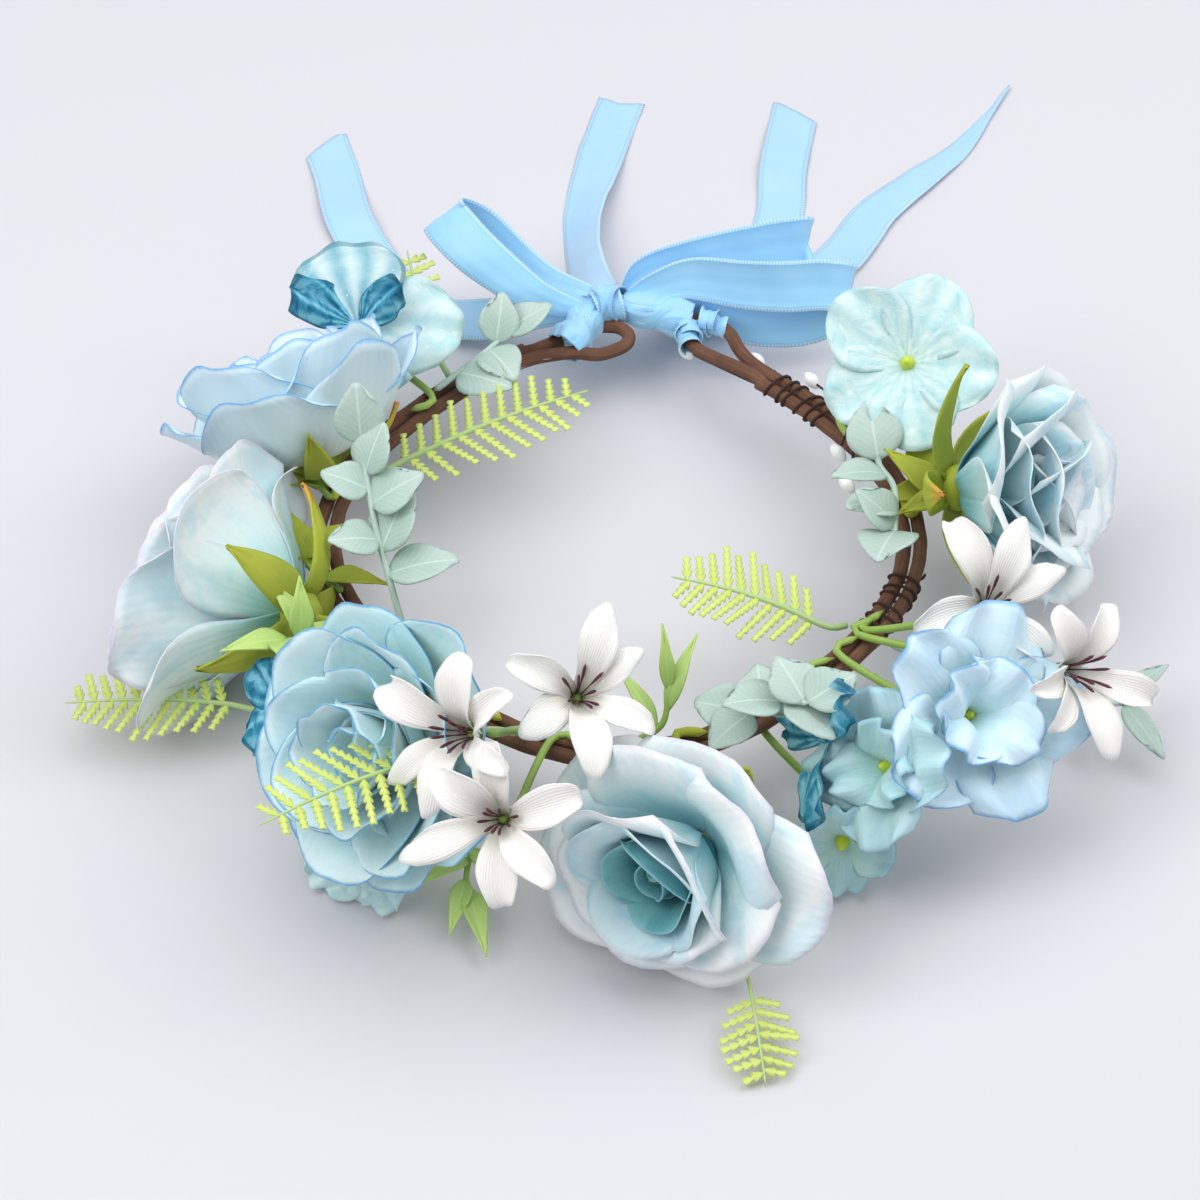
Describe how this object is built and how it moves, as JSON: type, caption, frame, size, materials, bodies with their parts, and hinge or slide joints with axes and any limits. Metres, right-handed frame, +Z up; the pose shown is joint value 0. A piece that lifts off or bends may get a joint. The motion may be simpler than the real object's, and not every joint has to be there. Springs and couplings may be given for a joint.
{
  "type": "flower crown",
  "caption": "Open-backed wire hoop dressed with silk roses, peonies, florets, lilies and moulded greens, tied behind with a satin bow",
  "frame": {"origin": "centre of the whole object's bounding box, on the table it lies on", "axes": "+Z up through the head opening, +Y from the front flowers towards the bow at the back, +X to the wearer's left as seen from above with the bow away from the viewer (the viewer's right)"},
  "size_m": [0.3342, 0.449, 0.0944],
  "materials": {
    "kraft_paper": "brown crepe paper wrapped round wire, fine lengthwise wrinkles, matt",
    "steel_wire": "plain drawn wire, hidden in the paper",
    "brown_wire": "thin dark brown paper-covered binding wire, matt",
    "blue_satin": "sky blue satin ribbon, glossy face, picot edge",
    "petal_blue": "pale blue pressed silk petals with darker blue edges",
    "petal_aqua": "white to aqua pressed silk petals, lilac edge, cyan stain at the base",
    "petal_teal": "deep teal pressed silk petals",
    "floret_aqua": "mottled aqua pressed silk florets, creased",
    "calyx_olive": "olive green moulded calyx and sepals",
    "lily_white": "white silk strap petals with burgundy stamens",
    "fern_lime": "lime green moulded flexible plastic",
    "sage_leaf": "sage green moulded leaves with pale veins, frosted",
    "leaf_lime": "yellow green moulded leaves",
    "pip_white": "pearly white pips on fine wires"
  },
  "bodies": {
    "crown": {"hoop_outer_paper": "kraft_paper", "hoop_outer_wire": "steel_wire", "hoop_inner_paper": "kraft_paper", "hoop_inner_wire": "steel_wire", "binding_wire_right": "brown_wire", "binding_wire_front_right": "brown_wire", "ribbon_knot": "blue_satin", "ribbon_hitch_right": "blue_satin", "ribbon_hitch_left": "blue_satin", "ribbon_tail_1": "blue_satin", "ribbon_tail_2": "blue_satin", "ribbon_tail_3": "blue_satin", "ribbon_tail_4": "blue_satin", "ribbon_loop_left": "blue_satin", "ribbon_loop_right_back": "blue_satin", "ribbon_loop_right_front": "blue_satin", "rose_left_calyx": "calyx_olive", "rose_left_outer_petals": "petal_aqua", "rose_left_inner_petals": "petal_aqua", "rose_left_heart": "petal_aqua", "rose_front_calyx": "calyx_olive", "rose_front_outer_petals": "petal_aqua", "rose_front_inner_petals": "petal_aqua", "rose_front_heart": "petal_teal", "rose_right_calyx": "calyx_olive", "rose_right_outer_petals": "petal_aqua", "rose_right_inner_petals": "petal_aqua", "rose_right_heart": "petal_teal", "peony_back_left_calyx": "calyx_olive", "peony_back_left_outer_petals": "petal_blue", "peony_back_left_inner_petals": "petal_blue", "peony_front_left_calyx": "calyx_olive", "peony_front_left_outer_petals": "petal_blue", "peony_front_left_inner_petals": "petal_blue", "lily_left": "lily_white", "lily_inner": "lily_white", "lily_front": "lily_white", "lily_right": "lily_white", "lily_outer": "lily_white", "floret_aqua_right": "floret_aqua", "floret_shell": "floret_aqua", "floret_blue": "petal_blue", "floret_ruffled": "floret_aqua", "floret_teal": "petal_teal", "floret_aqua_low": "floret_aqua", "floret_teal_left": "petal_teal", "floret_aqua_left": "floret_aqua", "eucalyptus_front": "sage_leaf", "eucalyptus_right": "sage_leaf", "eucalyptus_back_left": "sage_leaf", "eucalyptus_tip_right": "sage_leaf", "leaf_sprig_left": "leaf_lime", "leaf_sprig_inner": "leaf_lime", "berry_spray": "pip_white"},
    "fern_left_inner_body": {"fern_left_inner": "fern_lime"},
    "fern_left_outer_body": {"fern_left_outer": "fern_lime"},
    "fern_front_left_body": {"fern_front_left": "fern_lime"},
    "fern_right_inner_body": {"fern_right_inner": "fern_lime"},
    "fern_front_body": {"fern_front": "fern_lime"},
    "eucalyptus_left_body": {"eucalyptus_left": "sage_leaf"}
  },
  "joints": [
    {"name": "fern_left_inner_flex", "type": "hinge", "parent": "crown", "child": "fern_left_inner_body", "pos_m": [-0.07948, -0.00731, 0.022], "axis": [0.4751, -0.8799, 0], "range_deg": [-6, 12], "stiffness_Nm_per_rad": 0.012},
    {"name": "fern_left_outer_flex", "type": "hinge", "parent": "crown", "child": "fern_left_outer_body", "pos_m": [-0.06373, -0.08349, 0.017], "axis": [-0.0177, 0.9998, 0], "range_deg": [-2, 4], "stiffness_Nm_per_rad": 0.04},
    {"name": "fern_front_left_flex", "type": "hinge", "parent": "crown", "child": "fern_front_left_body", "pos_m": [-0.02815, -0.11129, 0.027], "axis": [-0.6915, 0.7224, 0], "range_deg": [-2, 6], "stiffness_Nm_per_rad": 0.04},
    {"name": "fern_right_inner_flex", "type": "hinge", "parent": "crown", "child": "fern_right_inner_body", "pos_m": [0.07141, -0.0632, 0.023], "axis": [0.1803, 0.9836, 0], "range_deg": [-8, 12], "stiffness_Nm_per_rad": 0.01},
    {"name": "fern_front_flex", "type": "hinge", "parent": "crown", "child": "fern_front_body", "pos_m": [0.02865, -0.11266, 0.017], "axis": [-0.9921, -0.1251, 0], "range_deg": [0, 5], "stiffness_Nm_per_rad": 0.03},
    {"name": "eucalyptus_left_flex", "type": "hinge", "parent": "crown", "child": "eucalyptus_left_body", "pos_m": [-0.0637, -0.06704, 0.024], "axis": [-0.5446, 0.8387, 0], "range_deg": [-6, 6], "stiffness_Nm_per_rad": 0.012}
  ]
}
